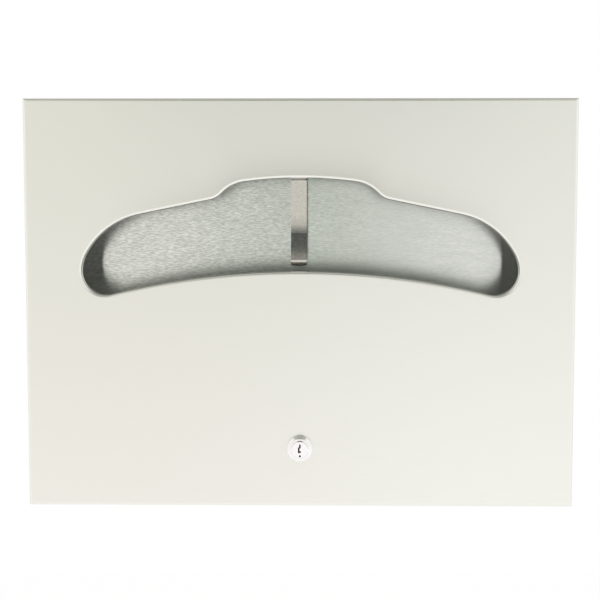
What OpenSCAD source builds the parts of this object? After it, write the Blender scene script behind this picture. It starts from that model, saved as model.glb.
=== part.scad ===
// Wall-mounted dispenser for half-folded paper toilet seat covers.
// A one-piece stainless cover hangs on a full-length hinge at the top of a back plate and is
// held shut by a key-operated cam lock. Covers are drawn out through the shaped opening.
// Origin: centre of the wall screw holes on the wall plane. +Z up, the front faces -Y.

/* [Cover] */
// Overall width of the cover
cover_w = 400; // [380:1:430]
// Overall height of the cover
cover_h = 298; // [285:1:330]
// Distance from the wall to the front face
cover_d = 51; // [48:0.5:60]
// Thickness of the cover's sheet
sheet_t = 0.8; // [0.7:0.1:1.0]
// Outside radius of the folded edges
fold_r = 2; // [1.5:0.1:3]
// Gap between the wall and the rear edges of the cover's four sides
wall_gap = 3; // [2.8:0.1:4]

/* [Opening] */
// Height of the opening's top above the middle of the cover
crown_z = 91.7; // [85:0.1:96]
// Radius of the shallow arch over the middle
crown_r = 305; // [270:1:340]
// Half angle of that arch
crown_a = 7.6; // [6:0.1:9]
// Radius of the rounded shoulder beside the arch
shoulder_r = 27.5; // [24:0.5:32]
// Slope at which the shoulder turns into the hollow
shoulder_a = 46.5; // [42:0.5:50]
// Radius of the hollow below the shoulder
hollow_r = 16; // [12:0.5:18]
// Slope of the straight flank
flank_a = 11.6; // [11:0.1:13]
// Length of the straight flank
flank_l = 53; // [45:0.5:56]
// Radius of the haunch between the flank and the tip
haunch_r = 57; // [52:0.5:62]
// Slope at which the haunch turns into the tip
haunch_a = 62; // [56:0.1:66]
// Radius of the tip's upper half
tip_r = 26; // [23:0.5:29]
// Radius of the tip's lower half
toe_r = 17.2; // [15:0.2:19]
// Radius of the long arch along the bottom of the opening
sill_r = 571; // [500:1:650]
// Outside radius of the rolled edge round the opening
rim_r = 2; // [1.4:0.1:2.5]
// Depth of the rolled edge and its flange behind the front face
rim_d = 5; // [4:0.1:6]

/* [Tongue] */
// Offset of the retaining tongue from the middle
tongue_x = -0.8; // [-2:0.1:2]
// Width of the tongue at its root
tongue_root_w = 11.4; // [9:0.1:14]
// Width of the tongue at its tip
tongue_tip_w = 11.4; // [9:0.1:14]
// Inside radius of the bend at the tongue's root
tongue_bend_r = 1; // [0.8:0.1:1.6]
// Length of the sloping part between the root and the upright part
tongue_slope_l = 1.6; // [1:0.1:3]
// Slope of that part
tongue_slope = 45; // [30:1:60]
// Length of the upright part of the tongue
tongue_upright_l = 37.4; // [30:0.1:42]
// Forward tilt of the tongue's lower part
tongue_tilt = 15; // [5:0.5:18]
// Length of the tilted part
tongue_foot_l = 19.6; // [14:0.1:21]
// Inside radius of the tongue's other bends
tongue_foot_r = 0.8; // [0.5:0.1:1.2]
// Angle by which the lip at the tip turns back
lip_turn = 68; // [60:1:85]
// Length of the lip at the tip
lip_l = 5; // [3:0.1:6]
// Radius of the lip's two corners
lip_corner_r = 2; // [1:0.1:3]

/* [Back plate] */
// Thickness of the back plate and the shelf
plate_t = 0.8; // [0.7:0.1:1.2]
// Gap between the cover's sides and the back plate's flanges
plate_gap = 1.2; // [0.8:0.1:2]
// Depth of the back plate's flanges at its sides
plate_flange_d = 12; // [8:0.5:20]
// Depth of the back plate's flange at its foot
plate_foot_d = 5; // [4:0.5:6]
// Height of the notch between the foot's flange and the side flanges
plate_notch_h = 4; // [3:0.5:8]
// Gap between the back plate's upper edge and the hinge axis
plate_top_gap = 0.5; // [0.4:0.1:1]
// Spacing of the wall screw holes across
wall_hole_x = 304.8; // [250:0.1:330]
// Spacing of the wall screw holes up and down
wall_hole_z = 228.6; // [215:0.1:240]
// Diameter of the wall screw holes
wall_hole_d = 6.4; // [4.5:0.1:8]

/* [Shelf] */
// Width of the shelf that carries the pack
shelf_w = 376; // [350:1:378]
// Height of the shelf above the lock's axis
shelf_rise = 20.8; // [20:0.1:23]
// Height of the shelf's front lip
shelf_lip_h = 10.3; // [8:0.1:10.5]
// Height of the shelf's rear flange
shelf_flange_h = 12; // [8:0.5:16]
// Outside radius of the shelf's two folds
shelf_fold_r = 1.6; // [1.4:0.1:2.2]

/* [Hinge] */
// Diameter of the hinge pin
pin_d = 2; // [1.6:0.1:2.4]
// Radial clearance of the pin in the knuckles
pin_gap = 0.05; // [0.02:0.01:0.1]
// Thickness of the hinge leaves
leaf_t = 0.8; // [0.6:0.1:1]
// Width of each leaf from the hinge axis
leaf_w = 14; // [10:0.5:20]
// Length of the hinge
hinge_l = 392; // [360:1:394]
// Number of knuckles, shared by turns between the two leaves
knuckles = 15; // [9:2:23]
// Gap between neighbouring knuckles
knuckle_gap = 0.3; // [0.2:0.05:0.6]

/* [Lock] */
// Height of the lock's axis above the cover's lower edge
lock_rise = 43; // [36:0.5:46]
// Diameter of the lock's head at the cover
head_d = 20; // [19:0.1:22]
// Diameter of the flat front of the head
head_face_d = 15; // [14.4:0.1:17]
// How far the head stands out
head_h = 4.5; // [3.5:0.1:5.5]
// Thickness of the head's straight edge under its rounded part
head_edge_h = 1.2; // [0.8:0.1:1.6]
// Outside diameter of the lock's barrel
barrel_d = 16; // [15.8:0.1:16.4]
// Distance across the barrel's two flats
barrel_flats = 14.6; // [14.4:0.1:15]
// Length of the barrel behind the cover's front face
barrel_l = 15; // [14.5:0.1:16]
// Diameter of the plug
plug_d = 12; // [11.8:0.1:12.2]
// Radial clearance of the plug in the barrel
plug_gap = 0.05; // [0.02:0.01:0.1]
// Diameter of the plug's face
plug_face_d = 13.2; // [13:0.1:14]
// Thickness of the plug's face
plug_face_h = 1.2; // [0.8:0.1:1.6]
// Side of the square tang that drives the cam
tang_w = 6.4; // [6:0.1:6.8]
// Clearance round the tang and round the barrel
fit_gap = 0.1; // [0.05:0.05:0.2]
// Depth of the keyway from the plug's face
keyway_d = 15; // [14:0.1:15.5]
// Number of wafers
wafer_n = 5; // [5:1:5]
// Thickness of a wafer
wafer_t = 1; // [0.8:0.1:1.2]
// Distance from one wafer to the next
wafer_pitch = 2.3; // [2.1:0.1:2.4]
// Width of a wafer
wafer_w = 5; // [4.6:0.1:5.4]
// Travel of a wafer into the barrel's groove
wafer_travel = 0.45; // [0.3:0.05:0.5]
// Clearance round a wafer in its slot
wafer_gap = 0.08; // [0.05:0.01:0.12]
// Thickness of the spring wire behind a wafer
spring_wire = 0.24; // [0.18:0.02:0.3]
// Mean diameter of the springs behind the wafers
spring_d = 0.9; // [0.7:0.05:1]
// Thickness of the lock washer behind the cover
washer_t = 0.8; // [0.6:0.1:1]
// Outside diameter of the lock washer
washer_d = 21.5; // [20:0.5:24]
// Distance across the flats of the nut
nut_flats = 22; // [20:0.5:24]
// Thickness of the nut
nut_t = 3; // [2.5:0.1:4]
// Thickness of the stop washer
stop_t = 0.8; // [0.6:0.1:1]
// Thickness of the cam
cam_t = 1.6; // [1.4:0.1:1.8]
// Reach of the cam from the lock's axis
cam_reach = 16.5; // [15.5:0.1:17.5]
// Width of the cam at its end
cam_w = 10; // [8:0.5:12]
// Gap between the locked cam and the shelf's lip
cam_gap = 0.8; // [0.5:0.05:1]
// Diameter of the cam screw
screw_d = 4; // [3:0.5:4]
// Length of the cam screw under its head
screw_l = 7; // [6:0.5:7.5]

/* [Hidden] */

STEEL = [0.80, 0.80, 0.77];
DULL_STEEL = [0.68, 0.69, 0.67];
CHROME = [0.86, 0.87, 0.88];
ZINC = [0.62, 0.64, 0.66];
BRASS = [0.78, 0.66, 0.38];

// Facets that OpenSCAD draws on a full turn
$fn = 96;
big_fn = 256;
// Overshoot of a cut past the face it goes through
over = 1;
// Step between the tongue's root and the rolled edge's flange, and how far the root reaches into it
root_step = 0.3;
root_lap = 0.5;
// How far the swept rolled edge reaches into the flat front
rim_lap = 1;
// Largest angle and length of one facet round the opening
rim_step_a = 7.5;
rim_step_l = 12;
// Largest angle of one facet across the rolled edge and along a bend
rim_bend_step = 22.5;
bend_step = 15;

cover_top = cover_h / 2;
shelf_t = plate_t;
plate_half_w = cover_w / 2 - sheet_t - plate_gap;
plate_low = -cover_top + sheet_t + plate_gap;

// Unit vector at angle a, measured clockwise from straight up
function up_dir(a) = [sin(a), cos(a)];
// Unit vector at angle a, measured anticlockwise from the right
function dir(a) = [cos(a), sin(a)];

// Centres of the arcs that make up the right half of the opening, each tangent to the one before
crown_c = [0, crown_z - crown_r];
shoulder_c = crown_c + (crown_r - shoulder_r) * up_dir(crown_a);
hollow_c = shoulder_c + (shoulder_r + hollow_r) * up_dir(shoulder_a);
flank_start = hollow_c - hollow_r * up_dir(flank_a);
flank_end = flank_start + flank_l * [cos(flank_a), -sin(flank_a)];
haunch_c = flank_end - haunch_r * up_dir(flank_a);
tip_c = haunch_c + (haunch_r - tip_r) * up_dir(haunch_a);
toe_c = tip_c + [tip_r - toe_r, 0];
sill_a = asin(toe_c[0] / (toe_r + sill_r));
sill_c = toe_c - (toe_r + sill_r) * up_dir(sill_a);

// Hinge: the knuckles lie in the corner under the cover's top and against the back plate
knuckle_r = pin_d / 2 + pin_gap + leaf_t;
hinge_y = -(plate_t + knuckle_r);
hinge_z = cover_top - sheet_t - knuckle_r;
knuckle_l = hinge_l / knuckles;

// Lock: distances from the wall along the lock's axis
lock_z = -cover_top + lock_rise;
plug_r = plug_d / 2;
bore_r = plug_r + plug_gap;
barrel_end = cover_d - barrel_l;
head_front = cover_d + head_h;
cover_inside = cover_d - sheet_t;
stop_gap = 0.05;
stop_front = barrel_end - stop_gap;
cam_front = stop_front - stop_t;
cam_rear = cam_front - cam_t;
groove_r = plug_r + wafer_travel + 0.25;
groove_w = wafer_w + 0.6;
wafer_first = cover_d;
wafer_half_h = plug_r - 0.15;
ear_w = 1.5;
spring_x = wafer_w / 2 + ear_w / 2;
spring_low = -3;
release_drop = 4.85;
release_w = 1.5;
release_d = 2.4;
screw_head_d = 7;
screw_head_h = 2.4;
spring_washer_t = 0.8;

// Shelf: its lip ends just in front of the locked cam
shelf_z = lock_z + shelf_rise;
lip_rear = cam_front + cam_gap;

// Turns a shape drawn in the cover's plane, with its height above that plane, to face forward
module on_face() {
    rotate([90, 0, 0])
        children();
}

// The same, with the lock's axis as its origin
module on_lock() {
    translate([0, 0, lock_z])
        on_face()
            children();
}

// Stretches a shape from one distance off the wall to another
module between(low, high) {
    translate([0, 0, low])
        linear_extrude(high - low)
            children();
}

// Draws a section, with x as the distance from the wall and y as the height, across a width
module across(width) {
    translate([-width / 2, 0, 0])
        rotate([90, 0, 90])
            linear_extrude(width)
                mirror([1, 0])
                    children();
}

// Part of a ring between two radii and two angles
module ring_sector(r_in, r_out, a0, a1) {
    mid = (a0 + a1) / 2;
    far = 1.3 * r_out / cos((a1 - a0) / 2);
    difference() {
        intersection() {
            circle(r_out);
            polygon([[0, 0], far * dir(a0), far * dir(mid), far * dir(a1)]);
        }
        if (r_in > 0)
            circle(r_in);
    }
}

// Vector to the left of a heading
function left_of(heading) = [-sin(heading), cos(heading)];

// Points along one face of bent sheet. Each step is [straight length, bend to the left, inside radius].
// The path runs along the right face; offset is 0 for that face and t for the left one.
function sheet_face(steps, t, offset, p, heading, i = 0) =
    i == len(steps) ? [p + offset * left_of(heading)] :
    let (
        turn = steps[i][1],
        r = steps[i][2],
        bend_end = p + steps[i][0] * dir(heading),
        q = turn > 0 ? -(t + r) : r,
        centre = bend_end - q * left_of(heading),
        n = ceil(abs(turn) / bend_step)
    )
    concat(
        i == 0 ? [p + offset * left_of(heading)] : [],
        turn == 0 ? [] : [for (k = [0:n - 1]) centre + (q + offset) * left_of(heading + turn * k / n)],
        sheet_face(steps, t, offset, turn == 0 ? bend_end : centre + q * left_of(heading + turn), heading + turn,
            i + 1)
    );

// Section of sheet that is bent along the steps
module sheet_section(steps, t, p, heading) {
    right = sheet_face(steps, t, 0, p, heading);
    left = sheet_face(steps, t, t, p, heading);
    polygon(concat(right, [for (i = [len(left) - 1:-1:0]) left[i]]));
}

// Rectangle from [0, 0] to [w, d] with its two far corners rounded
module folded_section(w, d, r) {
    square([w, d - r]);
    translate([r, 0])
        square([w - 2 * r, d]);
    translate([r, d - r])
        ring_sector(0, r, 90, 180);
    translate([w - r, d - r])
        ring_sector(0, r, 0, 90);
}

// Block with rounded front edges, as wide, high and deep as the cover, drawn in by inset
module cover_block(inset, rear, r) {
    depth = cover_d - inset - rear;
    half_w = cover_w / 2 - inset;
    half_h = cover_top - inset;
    intersection() {
        translate([-half_w, -rear, -half_h])
            linear_extrude(2 * half_h)
                mirror([0, 1])
                    folded_section(2 * half_w, depth, r);
        across(2 * half_w)
            translate([rear, half_h])
                rotate(-90)
                    folded_section(2 * half_h, depth, r);
    }
}

// Points on an arc from a0 to a1, without its first point
function arc_points(centre, r, a0, a1) =
    let (n = max(ceil(abs(a1 - a0) / rim_step_a), ceil(abs(r * (a1 - a0)) * PI / 180 / rim_step_l)))
    [for (k = [1:n]) centre + r * up_dir(a0 + (a1 - a0) * k / n)];

// Half of the opening's edge from its top to its bottom, grown outwards by g
function half_edge(g) = concat(
    [[0, crown_z + g]],
    arc_points(crown_c, crown_r + g, 0, crown_a),
    arc_points(shoulder_c, shoulder_r + g, crown_a, shoulder_a),
    arc_points(hollow_c, g - hollow_r, shoulder_a, flank_a),
    [flank_end + g * up_dir(flank_a)],
    arc_points(haunch_c, haunch_r + g, flank_a, haunch_a),
    arc_points(tip_c, tip_r + g, haunch_a, 90),
    arc_points(toe_c, toe_r + g, 90, 180 + sill_a),
    arc_points(sill_c, sill_r - g, sill_a, 0)
);

// The whole edge of the opening, clockwise from its top
function opening_edge(g) =
    let (half = half_edge(g))
    concat(half, [for (i = [len(half) - 2:-1:1]) [-half[i][0], half[i][1]]]);

// Section of the rolled edge: [distance outwards from the opening, distance from the wall]
function rim_section() =
    let (
        bend = [rim_r, cover_d - rim_r],
        inner_r = rim_r - sheet_t,
        n = ceil(90 / rim_bend_step)
    )
    concat(
        [[0, cover_d - rim_d]],
        [for (k = [0:n]) bend + rim_r * dir(180 - 90 * k / n)],
        [[rim_r + rim_lap, cover_d], [rim_r + rim_lap, cover_inside]],
        [for (k = [0:n]) bend + inner_r * dir(90 + 90 * k / n)],
        [[sheet_t, cover_d - rim_d]]
    );

// Rolled edge all round the opening: its section swept along the edge as one closed skin
module rim() {
    section = rim_section();
    edges = [for (s = section) opening_edge(s[0])];
    count = len(edges[0]);
    rows = len(section);
    points = [for (j = [0:rows - 1], p = edges[j]) [p[0], p[1], section[j][1]]];
    faces = [for (j = [0:rows - 1], i = [0:count - 1])
        let (next_i = (i + 1) % count, next_j = (j + 1) % rows)
            [j * count + i, next_j * count + i, next_j * count + next_i, j * count + next_i]];
    polyhedron(points, faces);
}

// Steps of the tongue from inside the rolled edge's flange to its turned-back lip
tongue_steps = [
    [root_lap, tongue_slope, tongue_bend_r],
    [tongue_slope_l, 90 - tongue_slope, tongue_foot_r],
    [tongue_upright_l, tongue_tilt, tongue_foot_r],
    [tongue_foot_l, -lip_turn, tongue_foot_r],
    [lip_l, 0, 0]
];
tongue_root = [cover_d - rim_d + root_lap, crown_z + sheet_t - root_step];

// Front view of the tongue: a slight taper and rounded lower corners
module tongue_outline(high, low) {
    root = tongue_root_w / 2;
    tip = tongue_tip_w / 2;
    corner_z = low + lip_corner_r;
    corner_x = tip - lip_corner_r;
    corner = [for (k = [0:6]) [corner_x, corner_z] + lip_corner_r * dir(-15 * k)];
    polygon(concat(
        [[-root, high], [root, high]],
        corner,
        [for (k = [6:-1:0]) [-corner[k][0], corner[k][1]]]
    ));
}

module tongue() {
    low = min([for (p = sheet_face(tongue_steps, sheet_t, 0, tongue_root, 180)) p[1]]);
    translate([tongue_x, 0, 0])
        intersection() {
            across(2 * tongue_tip_w)
                sheet_section(tongue_steps, sheet_t, tongue_root, 180);
            on_face()
                between(0, cover_d)
                    tongue_outline(tongue_root[1] + over, low);
        }
}

// Round hole or barrel with two flats, grown by g
module barrel_outline(g) {
    half = barrel_flats / 2 + g;
    intersection() {
        circle(barrel_d / 2 + g);
        translate([-half, -barrel_d])
            square([2 * half, 2 * barrel_d]);
    }
}

module front_cover() {
    color(STEEL) {
        difference() {
            cover_block(0, wall_gap, fold_r);
            cover_block(sheet_t, wall_gap - over, fold_r - sheet_t);
            on_face()
                between(cover_inside - over, cover_d + over)
                    polygon(opening_edge(rim_r + rim_lap / 2));
            on_lock()
                between(cover_inside - over, cover_d + over)
                    barrel_outline(fit_gap);
        }
        on_face()
            rim();
        tongue();
    }
}

// Back plate block with rounded rear edges at the sides and bottom, drawn in by inset
module plate_block(inset, r, beyond) {
    half_w = plate_half_w - inset;
    low = plate_low + inset;
    high = hinge_z - plate_top_gap + beyond;
    depth = plate_flange_d - inset + beyond;
    intersection() {
        translate([-half_w, -inset - depth, low])
            linear_extrude(high - low)
                folded_section(2 * half_w, depth, r);
        across(2 * half_w) {
            translate([inset, low + r])
                square([depth, high - low - r]);
            translate([inset + r, low])
                square([depth - r, high - low]);
            translate([inset + r, low + r])
                ring_sector(0, r, 180, 270);
        }
    }
}

module back_plate() {
    color(DULL_STEEL)
        difference() {
            plate_block(0, fold_r, 0);
            plate_block(plate_t, fold_r - plate_t, over);
            translate([-cover_w / 2, -plate_flange_d - over, plate_low - over])
                cube([cover_w, plate_flange_d + over - plate_foot_d, plate_notch_h + over]);
            for (sx = [-1, 1], sz = [-1, 1])
                translate([sx * wall_hole_x / 2, over, sz * wall_hole_z / 2])
                    rotate([90, 0, 0])
                        cylinder(h = plate_t + 2 * over, d = wall_hole_d);
        }
}

// Shelf folded from one strip: a flange down the back plate, the shelf and a lip down its front
module pack_shelf() {
    inside_r = shelf_fold_r - shelf_t;
    steps = [
        [shelf_flange_h - shelf_fold_r, -90, inside_r],
        [lip_rear - plate_t - shelf_t - 2 * inside_r, -90, inside_r],
        [shelf_lip_h - shelf_fold_r, 0, 0]
    ];
    color(DULL_STEEL)
        across(shelf_w)
            sheet_section(steps, shelf_t, [plate_t + shelf_t, shelf_z - shelf_flange_h], 90);
}

// Slice across the hinge at one knuckle, a little shorter than the knuckle where clear is positive
module knuckle_slice(i, clear) {
    translate([-hinge_l / 2 + i * knuckle_l + clear / 2, 0, 0])
        rotate([90, 0, 90])
            linear_extrude(knuckle_l - clear)
                children();
}

// One leaf of the hinge, lying on +x of the section with its rolled knuckles round the axis
module hinge_leaf(first) {
    clear_r = knuckle_r + knuckle_gap;
    others = [for (i = [0:knuckles - 1]) if (i % 2 != first) i];
    difference() {
        union() {
            rotate([90, 0, 90])
                translate([0, 0, -hinge_l / 2])
                    linear_extrude(hinge_l)
                        translate([0, knuckle_r - leaf_t])
                            square([leaf_w, leaf_t]);
            for (i = [first:2:knuckles - 1])
                knuckle_slice(i, knuckle_gap)
                    circle(knuckle_r);
        }
        for (i = others)
            knuckle_slice(i, -knuckle_gap)
                translate([-clear_r, -clear_r])
                    square([2 * clear_r, 2 * clear_r]);
        rotate([0, 90, 0])
            cylinder(h = hinge_l + 2 * over, r = pin_d / 2 + pin_gap, center = true);
    }
}

module hinge_leaf_back() {
    color(DULL_STEEL)
        translate([0, hinge_y, hinge_z])
            rotate([-90, 0, 0])
                hinge_leaf(0);
}

module hinge_leaf_cover() {
    color(DULL_STEEL)
        translate([0, hinge_y, hinge_z])
            mirror([0, 1, 0])
                hinge_leaf(1);
}

module hinge_pin() {
    color(DULL_STEEL)
        translate([0, hinge_y, hinge_z])
            rotate([0, 90, 0])
                cylinder(h = hinge_l, d = pin_d, center = true);
}

// Sector of the barrel's end that stops the stop washer a quarter turn apart
module stop_sector(r_in, r_out, a0, a1) {
    half = (a0 + a1) / 2;
    ring_sector(r_in, r_out, a0, half);
    ring_sector(r_in, r_out, half, a1);
}

// Half section of the head: a straight edge, then a quarter ellipse up to its flat front
module head_section() {
    width = (head_d - head_face_d) / 2;
    rise = head_h - head_edge_h;
    steps = 6;
    polygon(concat(
        [[0, 0], [head_d / 2, 0]],
        [for (k = [0:steps]) [head_face_d / 2, head_edge_h] + [width * cos(90 * k / steps), rise * sin(90 * k / steps)]],
        [[0, head_h]]
    ));
}

module lock_body() {
    lug_in = plug_r + 0.8;
    color(CHROME)
        on_lock()
            difference() {
                union() {
                    translate([0, 0, cover_d])
                        rotate_extrude()
                            head_section();
                    between(barrel_end, cover_d)
                        barrel_outline(0);
                    between(cam_front, barrel_end)
                        intersection() {
                            stop_sector(lug_in, barrel_d / 2, 135, 315);
                            barrel_outline(0);
                        }
                }
                between(barrel_end - over, head_front + over)
                    circle(bore_r);
                between(head_front - plug_face_h - 0.1, head_front + over)
                    circle(d = plug_face_d + 2 * plug_gap);
                between(barrel_end - over, wafer_first + wafer_t)
                    for (a = [0, 90])
                        rotate(a)
                            intersection() {
                                circle(groove_r);
                                square([groove_w, 2 * barrel_d], center = true);
                            }
            }
}

// Keyway in front view: an upper slot, a lower one stepped to the left, and a short one at its foot
module keyway_outline() {
    translate([-0.5, 1])
        square([1.15, 2.8]);
    translate([-1.3, -2.6])
        square([1.15, 4.2]);
    translate([-0.5, -2.4])
        square([1.3, 1.3]);
}

// Distance of one wafer's middle from the wall
function wafer_u(i) = wafer_first - i * wafer_pitch;

// Side on which a wafer carries its spring: they alternate
function wafer_side(i) = i % 2 == 0 ? 1 : -1;

// Slot through the plug for one wafer, its ear and its spring
module wafer_slot(i) {
    half_t = wafer_t / 2 + wafer_gap;
    side = wafer_side(i);
    between(wafer_u(i) - half_t, wafer_u(i) + half_t) {
        square([wafer_w + 2 * wafer_gap, 2 * plug_d], center = true);
        translate([side * (wafer_w / 2 + ear_w / 2 + wafer_gap / 2), (spring_low - 0.05 + 2) / 2])
            square([ear_w + wafer_gap, 2 - spring_low + 0.05], center = true);
    }
}

module lock_plug() {
    color(CHROME)
        on_lock()
            difference() {
                union() {
                    between(head_front - plug_face_h, head_front)
                        circle(d = plug_face_d);
                    between(barrel_end, head_front - plug_face_h)
                        circle(plug_r);
                    between(cam_rear + 0.2, barrel_end)
                        square(tang_w, center = true);
                }
                between(head_front - keyway_d, head_front + over)
                    keyway_outline();
                between(head_front - release_d, head_front + over)
                    translate([0.1, -release_drop])
                        circle(d = release_w);
                for (i = [0:wafer_n - 1])
                    wafer_slot(i);
                between(cam_rear - over, cam_rear + screw_l)
                    circle(d = screw_d + fit_gap);
            }
}

// Flat wafer with a window for the key and an ear for its spring, drawn in as the key holds it
module wafer(i) {
    side = wafer_side(i);
    window_w = 2.6;
    window_h = 7.4;
    window_z = 0.6;
    drop = [0.5, -0.3, 0.2, -0.5, 0.1][i];
    color(BRASS)
        on_lock()
            between(wafer_u(i) - wafer_t / 2, wafer_u(i) + wafer_t / 2)
                difference() {
                    union() {
                        intersection() {
                            square([wafer_w, 2 * wafer_half_h], center = true);
                            circle(wafer_half_h);
                        }
                        translate([side * (wafer_w / 2 + ear_w / 2) - ear_w / 2 - (side > 0 ? 0.1 : 0), 0.1])
                            square([ear_w + 0.1, 1.2]);
                    }
                    translate([0, window_z + drop])
                        square([window_w, window_h], center = true);
                }
}

module wafer_1() { wafer(0); }

module wafer_2() { wafer(1); }

module wafer_3() { wafer(2); }

module wafer_4() { wafer(3); }

module wafer_5() { wafer(4); }

// Coil of round wire that stands on [0, 0, 0], swept as one closed skin
module coil(height) {
    turns = 4;
    per_turn = 8;
    sides = 5;
    wire_r = spring_wire / 2;
    rings = turns * per_turn;
    points = [for (i = [0:rings], j = [0:sides - 1])
        let (a = 360 * i / per_turn, b = 360 * j / sides, r = spring_d / 2 + wire_r * cos(b))
            [r * cos(a), r * sin(a), wire_r + (height - 2 * wire_r) * i / rings + wire_r * sin(b)]];
    walls = [for (i = [0:rings - 1], j = [0:sides - 1])
        let (k = (j + 1) % sides)
            [i * sides + j, (i + 1) * sides + j, (i + 1) * sides + k, i * sides + k]];
    start = [for (j = [0:sides - 1]) j];
    end = [for (j = [sides - 1:-1:0]) rings * sides + j];
    polyhedron(points, concat([start], walls, [end]));
}

module wafer_springs() {
    color(DULL_STEEL)
        for (i = [0:wafer_n - 1])
            translate([wafer_side(i) * spring_x, -wafer_u(i), lock_z + spring_low])
                coil(0.05 - spring_low);
}

// Washer with inward teeth that bite the nut and the cover
module lock_washer() {
    teeth = 12;
    inner_r = barrel_d / 2 + fit_gap;
    color(ZINC)
        on_lock()
            between(cover_inside - washer_t, cover_inside)
                difference() {
                    circle(d = washer_d);
                    circle(inner_r);
                    for (i = [0:teeth - 1])
                        rotate(i * 360 / teeth)
                            translate([inner_r - 0.4, -0.8])
                                square([1.6, 1.6]);
                }
}

module lock_nut() {
    color(ZINC)
        on_lock()
            between(cover_inside - washer_t - nut_t, cover_inside - washer_t)
                difference() {
                    circle(r = nut_flats / 2 / cos(30), $fn = 6);
                    circle(barrel_d / 2 + fit_gap);
                }
}

// Washer that turns with the tang; its tab runs in the gap of the barrel's end
module cam_stop_washer() {
    tab_play = 1;
    color(ZINC)
        on_lock()
            between(cam_front, stop_front)
                difference() {
                    union() {
                        circle(plug_r + 0.5);
                        ring_sector(tang_w / 2, barrel_d / 2 - 0.4, -45 + tab_play, 45 - tab_play);
                    }
                    square(tang_w + 2 * fit_gap, center = true);
                }
}

// Flat cam: a round eye on the tang and an arm with a rounded end
module lock_cam() {
    eye_r = 7;
    end_r = cam_w / 2;
    color(ZINC)
        on_lock()
            between(cam_rear, cam_front)
                difference() {
                    union() {
                        circle(eye_r);
                        translate([0, -end_r])
                            square([cam_reach - end_r, cam_w]);
                        translate([cam_reach - end_r, 0])
                            circle(end_r);
                    }
                    square(tang_w + 2 * fit_gap, center = true);
                }
}

module cam_lock_washer() {
    outer_r = 3.9;
    split = 0.8;
    color(ZINC)
        on_lock()
            between(cam_rear - spring_washer_t, cam_rear)
                difference() {
                    circle(outer_r);
                    circle(screw_d / 2 + fit_gap);
                    translate([0, -split / 2])
                        square([2 * outer_r, split]);
                }
}

module cam_screw() {
    head_low = cam_rear - spring_washer_t - screw_head_h;
    slot_w = 1;
    slot_d = 1.1;
    color(ZINC)
        on_lock()
            difference() {
                union() {
                    between(head_low, head_low + screw_head_h)
                        circle(d = screw_head_d);
                    between(head_low + screw_head_h, cam_rear + screw_l - 0.5)
                        circle(d = screw_d);
                }
                between(head_low - over, head_low + slot_d)
                    square([2 * screw_head_d, slot_w], center = true);
            }
}

front_cover();
back_plate();
pack_shelf();
hinge_leaf_back();
hinge_leaf_cover();
hinge_pin();
lock_body();
lock_plug();
wafer_1();
wafer_2();
wafer_3();
wafer_4();
wafer_5();
wafer_springs();
lock_washer();
lock_nut();
cam_stop_washer();
lock_cam();
cam_lock_washer();
cam_screw();
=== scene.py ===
"""Wall-mounted steel dispenser for folded paper seat covers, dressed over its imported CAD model."""

import math

import bmesh
import bpy
import numpy as np
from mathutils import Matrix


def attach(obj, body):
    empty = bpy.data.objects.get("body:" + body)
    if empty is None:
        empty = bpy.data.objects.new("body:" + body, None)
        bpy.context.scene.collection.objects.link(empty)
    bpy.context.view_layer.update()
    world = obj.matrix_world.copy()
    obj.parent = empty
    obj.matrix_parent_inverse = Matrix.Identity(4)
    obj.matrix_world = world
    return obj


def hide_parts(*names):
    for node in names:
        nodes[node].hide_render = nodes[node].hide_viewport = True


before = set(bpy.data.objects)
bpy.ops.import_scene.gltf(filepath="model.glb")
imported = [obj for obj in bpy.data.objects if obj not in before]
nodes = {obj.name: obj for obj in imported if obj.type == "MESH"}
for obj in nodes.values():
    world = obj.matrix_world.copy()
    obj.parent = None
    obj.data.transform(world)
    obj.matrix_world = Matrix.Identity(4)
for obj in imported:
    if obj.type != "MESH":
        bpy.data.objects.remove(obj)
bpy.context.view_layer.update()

# Camera: a long lens about a metre in front of the cover, a little above its middle and to its right,
# looking five degrees down. The frame is square, 600 pixels wide.
camera = bpy.data.objects.new("camera", bpy.data.cameras.new("camera"))
bpy.context.collection.objects.link(camera)
camera.data.lens = 80.7
camera.location = (0.01597, -1.02488, 0.09193)
camera.rotation_euler = (math.radians(84.813), 0.0, math.radians(0.933))
bpy.context.scene.camera = camera
bpy.context.scene.view_settings.view_transform = "Standard"


# Back plate: one sheet of stainless steel screwed flat to the wall, with flanges folded forward at its
# sides and foot. Its satin face is brushed from side to side in short coarse strokes.
def link(tree, start, end):
    """Joins one node's output to another node's input."""
    tree.links.new(start, end)


def new_finish(name, colour, metal, roughness, turn=0.0):
    """Makes a material with its shader, and returns it with the shader node."""
    made = bpy.data.materials.new(name)
    made.use_nodes = True
    shader = made.node_tree.nodes["Principled BSDF"]
    shader.inputs["Base Color"].default_value = (*colour, 1.0)
    shader.inputs["Metallic"].default_value = metal
    shader.inputs["Roughness"].default_value = roughness
    shader.inputs["Anisotropic"].default_value = turn
    return made, shader


def stroke_pattern(made, place, pitch, detail=2.0):
    """Noise drawn out along the first axis of place: one cycle takes pitch metres on each axis."""
    tree = made.node_tree
    spread = tree.nodes.new("ShaderNodeMapping")
    spread.inputs["Scale"].default_value = [1.0 / p for p in pitch]
    noise = tree.nodes.new("ShaderNodeTexNoise")
    noise.inputs["Scale"].default_value = 1.0
    noise.inputs["Detail"].default_value = detail
    link(tree, place, spread.inputs["Vector"])
    link(tree, spread.outputs["Vector"], noise.inputs["Vector"])
    return noise.outputs["Fac"]


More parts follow.
